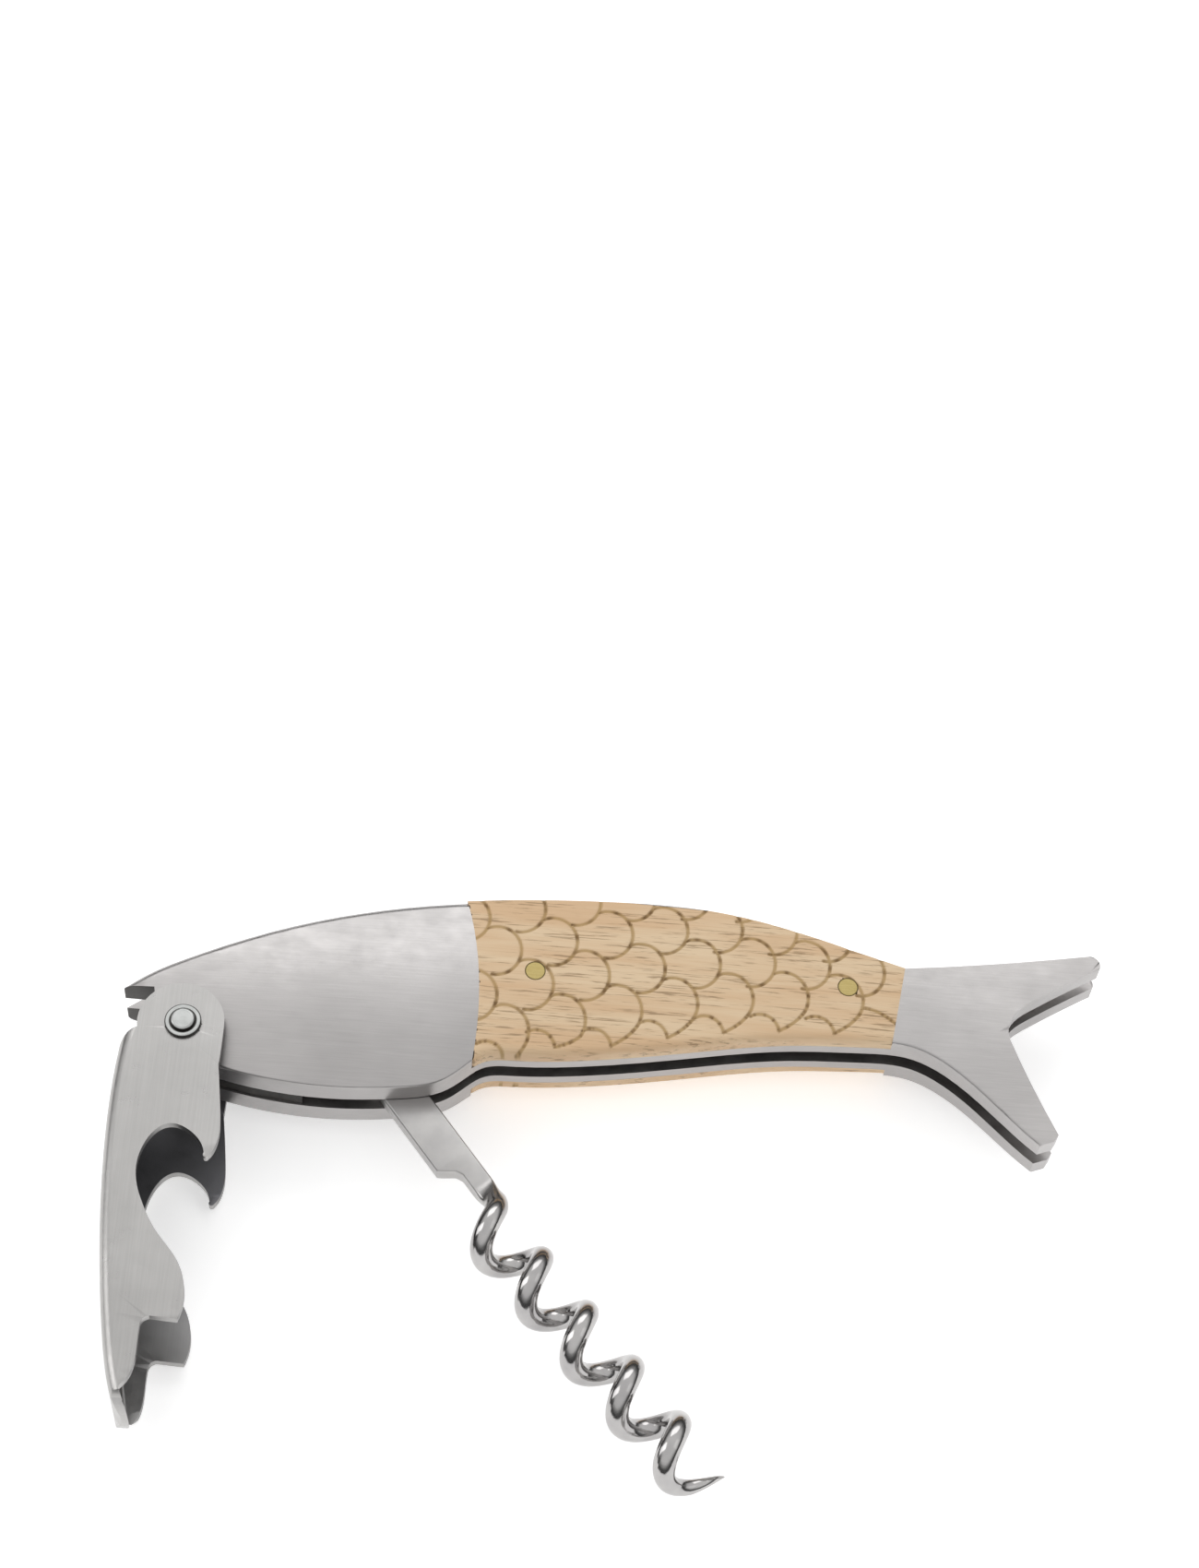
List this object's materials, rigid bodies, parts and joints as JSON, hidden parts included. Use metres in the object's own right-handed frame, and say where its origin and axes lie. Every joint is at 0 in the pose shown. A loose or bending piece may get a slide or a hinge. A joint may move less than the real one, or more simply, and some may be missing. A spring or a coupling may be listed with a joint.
{
  "type": "waiter's corkscrew",
  "caption": "Fish-shaped waiter's corkscrew: steel head and tail, engraved wooden sides, a folding worm and a bottle-opener lever.",
  "frame": {"origin": "on the lever's pivot axis, at the far end face of the lever pivot pin, the lowest point when the fish lies on its far side", "axes": "+X from the fish's nose to its tail, +Y towards its back, +Z along the lever's pivot axis towards the near side"},
  "size_m": [0.1311, 0.0804, 0.0184],
  "materials": {
    "plate_steel": "satin",
    "lever_steel": "satin",
    "worm_steel": "polished",
    "pin_steel": "satin",
    "inner_steel": "dark, unpolished",
    "wood": "oiled, engraved with burnt scale arcs",
    "brass": "ground flush, dull"
  },
  "bodies": {
    "handle": {"side_plate_near": "plate_steel", "side_plate_far": "plate_steel", "wood_scale_near": "wood", "wood_scale_far": "wood", "brass_pin_front": "brass", "brass_pin_rear": "brass", "back_spring": "inner_steel", "head_spacer": "inner_steel", "head_dowel": "pin_steel", "tail_spacer": "inner_steel", "tail_dowel": "pin_steel", "lever_pivot_pin": "pin_steel", "inner_washer_near": "pin_steel", "inner_washer_far": "pin_steel", "outer_washer_near": "pin_steel", "outer_washer_far": "pin_steel", "worm_pivot_pin": "pin_steel"},
    "lever_body": {"lever": "lever_steel"},
    "worm_body": {"worm": "worm_steel"}
  },
  "joints": [
    {"name": "lever_pivot", "type": "hinge", "parent": "handle", "child": "lever_body", "pos_m": [0, 0, 0.0092], "axis": [0, 0, 1], "range_deg": [-60, 82]},
    {"name": "worm_pivot", "type": "hinge", "parent": "handle", "child": "worm_body", "pos_m": [0.0267, -0.00175, 0.0092], "axis": [0, 0, 1], "range_deg": [-35.9, 49.1]}
  ],
  "couplings": [
    {"joint": "worm_pivot", "follows": "lever_pivot", "ratio": 0.5976}
  ]
}
